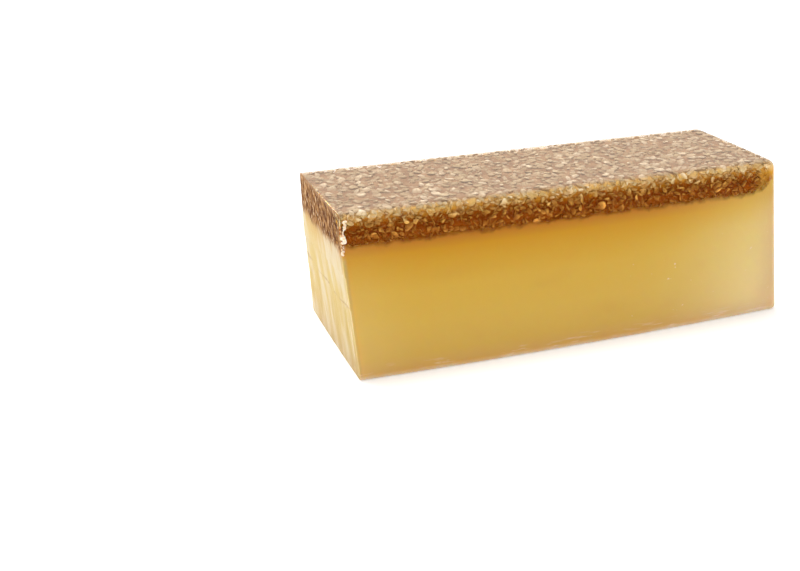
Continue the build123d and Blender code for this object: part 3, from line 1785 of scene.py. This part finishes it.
def place_piece(piece: bpy.types.Object) -> None:
    """Sets a piece to ride on the bar, and reports it.

    Args:
        piece: The finished piece.
    """
    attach(piece, "root")
    LOG.info("%s: %d faces", piece.name, len(piece.data.polygons))


@dataclass
class Soap:
    """The body with its finishes."""

    loaf: Loaf

    def build(self) -> None:
        """Builds and places the body."""
        body = SoapBody(self.loaf).build()
        wear(body, AmberSoap(self.loaf).make(), KnifeCut(self.loaf).make())
        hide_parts("soap_bar")
        place_piece(body)


@dataclass
class OatLayer:
    """The layer of oats: the dark bed and the flakes on each of its sides."""

    loaf: Loaf

    def build(self) -> None:
        """Builds and places the bed and the flakes."""
        bed = OatBed(self.loaf).build()
        wear(bed, BedFinish(self.loaf).make())
        place_piece(bed)
        flakes = Flakes(self.loaf)
        for finish, sides in self._finishes():
            material = finish.make()
            for side in sides:
                piece = flakes.lay_cut("oat_flakes_cut") if side is Side.CUT else flakes.lay(side)
                wear(piece, material)
                place_piece(piece)
        flakes.clear()

    def _finishes(self) -> Iterator[tuple[Oat, tuple[Side, ...]]]:
        """Yields the finishes of the flakes.

        Yields:
            A finish and the stretches of skin whose flakes have it.
        """
        # The cream stops under the rim are partly the oats' own colour and partly painted light that the
        # rim catches.
        walls = (
            (0.84, linear(246, 180, 86)),
            (0.90, linear(250, 198, 100)),
            (0.945, linear(255, 240, 186)),
            (0.975, linear(255, 248, 220)),
        )
        top = ((0.965, linear(255, 246, 210)), (0.985, linear(238, 226, 199)))
        cut = (
            (0.75, linear(190, 138, 82)),
            (0.90, linear(206, 160, 106)),
            (0.99, linear(226, 196, 158)),
        )
        yield Oat("top_oats", self.loaf, top, (0.66, 1.25), 0.8), (Side.TOP,)
        yield Oat("wall_oats", self.loaf, walls, (0.70, 1.45), 1.0), (Side.FRONT, Side.BACK, Side.END)
        yield Oat("cut_oats", self.loaf, cut, (0.55, 1.15), 40.0), (Side.CUT,)


@dataclass(frozen=True)
class Lump:
    """A stretch of the crumb thread.

    Attributes:
        top: The height of its upper end.
        foot: The height of its lower end.
        girth: Its thickness.
    """

    top: float
    foot: float
    girth: float


@dataclass
class CrumbThread:
    """The thread of crumbs that hangs beside the front edge of the cut.

    Attributes:
        loaf: The loaf that it hangs on.
        lumps: Its stretches.
        step: The distance between two crumbs.
        voxel: The size of its faces.
        crumble: The size of the grains on it.
        relief: How high they stand.
        top_aside: How far from the cut it hangs at its top.
        foot_aside: How far from the cut it hangs at its foot.
        seed: What the crumbs are drawn from.
    """

    loaf: Loaf
    lumps: tuple[Lump, ...] = (
        Lump(66.8 * MM, 64.0 * MM, 0.85 * MM),
        Lump(64.0 * MM, 61.0 * MM, 0.45 * MM),
        Lump(60.6 * MM, 58.4 * MM, 1.0 * MM),
        Lump(57.0 * MM, 54.8 * MM, 0.40 * MM),
        Lump(54.8 * MM, 53.6 * MM, 0.70 * MM),
    )
    step: float = 0.35 * MM
    voxel: float = 0.15 * MM
    crumble: float = 0.6 * MM
    relief: float = 0.5 * MM
    top_aside: float = 2.2 * MM
    foot_aside: float = 0.3 * MM
    seed: int = 23

    def build(self) -> None:
        """Builds and places the thread."""
        draw = random.Random(self.seed)
        crumbs = []
        for lump in self.lumps:
            count = round((lump.top - lump.foot) / self.step)
            for i in range(count + 1):
                z = lump.top + (lump.foot - lump.top) * i / count
                crumbs.append(self._crumb(draw, z, lump.girth))
        thread = Bench.join(crumbs, "cut_edge_crumbs")
        Bench.modify(thread, "REMESH", mode="VOXEL", voxel_size=self.voxel)
        texture = bpy.data.textures.new("crumble", "CLOUDS")
        texture.noise_scale = self.crumble
        texture.noise_depth = 3
        Bench.modify(thread, "DISPLACE", texture=texture, strength=self.relief, mid_level=0.5)
        wear(thread, Crumb().make())
        place_piece(thread)

    def _crumb(self, draw: random.Random, z: float, girth: float) -> bpy.types.Object:
        """Models one crumb of the thread.

        Args:
            draw: The random draws.
            z: The crumb's height.
            girth: How thick the thread is there.

        Returns:
            The crumb.
        """
        down = (self.lumps[0].top - z) / (self.lumps[0].top - self.lumps[-1].foot)
        aside = self.top_aside + (self.foot_aside - self.top_aside) * down
        sway = girth * (0.5 * math.sin(down * 13) + draw.gauss(0, 0.3))
        half = self.loaf.half_width(self.loaf.low.x, z)
        place = (self.loaf.cut_x(-half, z) + aside + sway, -half - 0.1 * MM, z)
        scale = [girth * share for share in (draw.uniform(0.5, 0.9), 0.6, draw.uniform(0.5, 0.9))]
        return Bench.primitive("ico_sphere", "crumb", subdivisions=2, radius=1, location=place, scale=scale)


# ---------------------------------------------------------------------------
# Studio
# ---------------------------------------------------------------------------


@dataclass(frozen=True)
class View:
    """The camera.

    Attributes:
        place: Where it stands.
        heading: How far it is turned from +Y to +X.
        dip: How far it looks down.
        roll: How far it is tilted.
        lens: Its focal length, for a sensor that is 36 mm wide.
    """

    place: Vector = Vector((-224.8, -449.0, 217.7)) * MM
    heading: float = math.radians(19.244)
    dip: float = math.radians(22.295)
    roll: float = math.radians(-0.681)
    lens: float = 52.86

    def build(self) -> None:
        """Adds the camera and makes it the scene's."""
        data = bpy.data.cameras.new("camera")
        data.lens = self.lens
        data.sensor_width = 36
        data.clip_start = 0.01
        camera = bpy.data.objects.new("camera", data)
        turn = Matrix.Rotation(-self.heading, 4, "Z") @ Matrix.Rotation(math.pi / 2 - self.dip, 4, "X")
        camera.matrix_world = Matrix.Translation(self.place) @ turn @ Matrix.Rotation(self.roll, 4, "Z")
        bpy.context.collection.objects.link(camera)
        bpy.context.scene.camera = camera


@dataclass(frozen=True)
class Softbox:
    """A soft square light that faces the bar.

    Attributes:
        name: The light's name.
        place: Where it hangs.
        size: The length of its sides.
        power: Its power in watts.
    """

    name: str
    place: Vector
    size: float
    power: float

    def build(self) -> None:
        """Adds the light."""
        data = bpy.data.lights.new(self.name, "AREA")
        data.size = self.size
        data.energy = self.power
        light = bpy.data.objects.new(self.name, data)
        light.location = self.place
        light.rotation_euler = self.place.to_track_quat("Z", "Y").to_euler()
        bpy.context.collection.objects.link(light)


@dataclass(frozen=True)
class Studio:
    """A pale floor under soft white light.

    Attributes:
        floor_size: The length of the floor's sides.
        floor_tone: Its colour.
        floor_glow: How brightly it shines by itself.
        surround: How bright the white surround is.
        lights: The soft lights.
    """

    floor_size: float = 12.0
    floor_tone: Colour = (0.93, 0.93, 0.93)
    floor_glow: float = 0.25
    surround: float = 0.67
    lights: tuple[Softbox, ...] = (
        Softbox("key", Vector((-0.15, 0.5, 1.5)), 0.9, 28.0),
        Softbox("fill", Vector((-0.3, -1.4, 0.8)), 1.0, 1.6),
    )

    def build(self) -> None:
        """Adds the floor, the surround and the lights."""
        floor = Bench.primitive("plane", "floor", size=self.floor_size)
        graph = Graph("pale_floor")
        inputs = {
            "Base Color": self.floor_tone,
            "Roughness": 0.9,
            "Specular IOR Level": 0.1,
            "Emission Color": self.floor_tone,
            "Emission Strength": self.floor_glow,
        }
        wear(floor, graph.show(graph.add("ShaderNodeBsdfPrincipled", None, inputs, "BSDF")))
        world = bpy.data.worlds.new("studio")
        world.use_nodes = True
        background = world.node_tree.nodes["Background"]
        background.inputs["Color"].default_value = (1, 1, 1, 1)
        background.inputs["Strength"].default_value = self.surround
        bpy.context.scene.world = world
        for light in self.lights:
            light.build()
        bpy.context.scene.view_settings.view_transform = "Standard"


def main() -> None:
    logging.basicConfig(level=logging.INFO, format="%(message)s")
    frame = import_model()
    low, high = (Vector(corner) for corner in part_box("soap_bar"))
    LOG.info("bodies: %s", ", ".join(frame["bodies"]))
    loaf = Loaf(low, high)
    View().build()
    Studio().build()
    for part in (Soap(loaf), OatLayer(loaf), CrumbThread(loaf)):
        part.build()


if __name__ == "__main__":
    main()
